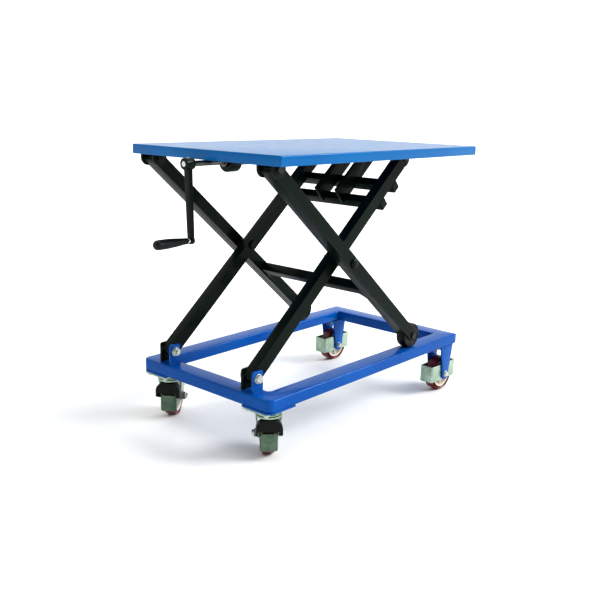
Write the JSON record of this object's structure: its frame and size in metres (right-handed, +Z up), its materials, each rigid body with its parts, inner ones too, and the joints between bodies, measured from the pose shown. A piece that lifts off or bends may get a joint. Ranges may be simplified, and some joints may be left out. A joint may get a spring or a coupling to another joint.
{
  "type": "scissor lift table",
  "caption": "Mobile scissor lift table: a flat top raised by a crank and lead screw over a tube frame on two fixed and two braked swivel casters.",
  "frame": {"origin": "on the floor, under the centre of the table top", "axes": "+Z up, +X along the table from the crank end to the end with the fixed casters, +Y across"},
  "size_m": [0.9525, 0.5, 0.7121],
  "materials": {
    "black_steel": "blackened",
    "core_cream": "moulded",
    "frame_blue": "gloss paint",
    "grip_black": "moulded",
    "nut_steel": "oiled",
    "pedal_black": "moulded",
    "scissor_black": "semi-gloss paint",
    "steel": "turned",
    "table_blue": "gloss paint",
    "tyre_red": "satin",
    "zinc": "zinc plated"
  },
  "bodies": {
    "base": {"base_bent_tube": "frame_blue", "base_end_tube": "frame_blue", "base_clevis_near": "frame_blue", "base_clevis_far": "frame_blue", "base_pivot_bolts": "steel", "corner_plate_near": "black_steel", "corner_plate_far": "black_steel", "swivel_race_near": "zinc", "swivel_race_far": "zinc", "rigid_fork_near": "frame_blue", "rigid_fork_far": "frame_blue", "rigid_guard_near": "zinc", "rigid_guard_far": "zinc", "rigid_axles": "steel"},
    "inner_legs": {"inner_leg_near": "scissor_black", "inner_leg_far": "scissor_black", "ladder_bar_lower": "scissor_black", "ladder_bar_upper": "scissor_black", "lever_plates": "scissor_black", "top_roller_pins": "steel"},
    "outer_legs": {"outer_leg_near": "scissor_black", "outer_leg_far": "scissor_black", "cross_tube": "scissor_black", "cross_gussets": "scissor_black", "centre_pins": "scissor_black", "base_roller_pins": "steel"},
    "table": {"table_tray": "table_blue", "table_lugs_near": "black_steel", "table_lugs_far": "black_steel", "table_pivot_bolts": "steel", "roller_tracks": "black_steel", "screw_housing": "black_steel", "screw_end_bearing": "black_steel"},
    "screw": {"lead_screw": "steel", "crank_arm": "black_steel", "grip_pin": "steel"},
    "grip": {"crank_grip": "grip_black"},
    "nut": {"screw_nut": "nut_steel"},
    "top_roller_near": {"top_roller_near": "nut_steel"},
    "base_roller_near": {"base_roller_near": "nut_steel"},
    "rigid_wheel_near": {"rigid_tyre_near": "tyre_red", "rigid_core_near": "core_cream"},
    "swivel_near": {"swivel_fork_near": "zinc", "toe_guard_near": "zinc", "swivel_axle_near": "steel"},
    "swivel_wheel_near": {"swivel_tyre_near": "tyre_red", "swivel_core_near": "core_cream"},
    "pedal_near": {"brake_pedal_near": "pedal_black"},
    "top_roller_far": {"top_roller_far": "nut_steel"},
    "base_roller_far": {"base_roller_far": "nut_steel"},
    "rigid_wheel_far": {"rigid_tyre_far": "tyre_red", "rigid_core_far": "core_cream"},
    "swivel_far": {"swivel_fork_far": "zinc", "toe_guard_far": "zinc", "swivel_axle_far": "steel"},
    "swivel_wheel_far": {"swivel_tyre_far": "tyre_red", "swivel_core_far": "core_cream"},
    "pedal_far": {"brake_pedal_far": "pedal_black"}
  },
  "joints": [
    {"name": "lift", "type": "hinge", "parent": "base", "child": "inner_legs", "pos_m": [-0.375, 0, 0.199], "axis": [0, -1, 0], "range_deg": [-31, 4]},
    {"name": "scissor", "type": "hinge", "parent": "inner_legs", "child": "outer_legs", "pos_m": [-0.09407, 0, 0.43979], "axis": [0, -1, 0], "range_deg": [-8.5, 62.5]},
    {"name": "table_pivot", "type": "hinge", "parent": "outer_legs", "child": "table", "pos_m": [-0.375, 0, 0.68057], "axis": [0, -1, 0], "range_deg": [-31.5, 4.5]},
    {"name": "nut_trunnion", "type": "hinge", "parent": "inner_legs", "child": "nut", "pos_m": [0.18686, 0, 0.68057], "axis": [0, -1, 0], "range_deg": [-4.5, 31.5]},
    {"name": "crank_spin", "type": "hinge", "parent": "table", "child": "screw", "pos_m": [-0.436, 0, 0.68057], "axis": [1, 0, 0], "continuous": true},
    {"name": "grip_spin", "type": "hinge", "parent": "screw", "child": "grip", "pos_m": [-0.49, -0.00785, 0.50775], "axis": [1, 0, 0], "continuous": true},
    {"name": "top_roller_near", "type": "hinge", "parent": "inner_legs", "child": "top_roller_near", "pos_m": [0.18686, -0.147, 0.68057], "axis": [0, -1, 0], "continuous": true},
    {"name": "base_roller_near", "type": "hinge", "parent": "outer_legs", "child": "base_roller_near", "pos_m": [0.18686, -0.1985, 0.199], "axis": [0, -1, 0], "continuous": true},
    {"name": "rigid_wheel_near", "type": "hinge", "parent": "base", "child": "rigid_wheel_near", "pos_m": [0.355, -0.2025, 0.05], "axis": [0, 1, 0], "continuous": true},
    {"name": "swivel_near", "type": "hinge", "parent": "base", "child": "swivel_near", "pos_m": [-0.35, -0.179, 0.109], "axis": [0, 0, 1], "continuous": true},
    {"name": "swivel_wheel_near", "type": "hinge", "parent": "swivel_near", "child": "swivel_wheel_near", "pos_m": [-0.32859, -0.15522, 0.05], "axis": [0.7431, -0.6691, 0], "continuous": true},
    {"name": "brake_near", "type": "hinge", "parent": "swivel_near", "child": "pedal_near", "pos_m": [-0.32859, -0.15522, 0.05], "axis": [0.7431, -0.6691, 0], "range_deg": [0, 12]},
    {"name": "top_roller_far", "type": "hinge", "parent": "inner_legs", "child": "top_roller_far", "pos_m": [0.18686, 0.147, 0.68057], "axis": [0, -1, 0], "continuous": true},
    {"name": "base_roller_far", "type": "hinge", "parent": "outer_legs", "child": "base_roller_far", "pos_m": [0.18686, 0.1985, 0.199], "axis": [0, -1, 0], "continuous": true},
    {"name": "rigid_wheel_far", "type": "hinge", "parent": "base", "child": "rigid_wheel_far", "pos_m": [0.355, 0.2025, 0.05], "axis": [0, 1, 0], "continuous": true},
    {"name": "swivel_far", "type": "hinge", "parent": "base", "child": "swivel_far", "pos_m": [-0.35, 0.179, 0.109], "axis": [0, 0, 1], "continuous": true},
    {"name": "swivel_wheel_far", "type": "hinge", "parent": "swivel_far", "child": "swivel_wheel_far", "pos_m": [-0.32379, 0.19735, 0.05], "axis": [0.5736, -0.8192, 0], "continuous": true},
    {"name": "brake_far", "type": "hinge", "parent": "swivel_far", "child": "pedal_far", "pos_m": [-0.32379, 0.19735, 0.05], "axis": [0.5736, -0.8192, 0], "range_deg": [0, 12]}
  ],
  "couplings": [
    {"joint": "scissor", "follows": "lift", "ratio": -2},
    {"joint": "table_pivot", "follows": "lift", "ratio": 1},
    {"joint": "nut_trunnion", "follows": "lift", "ratio": -1}
  ]
}
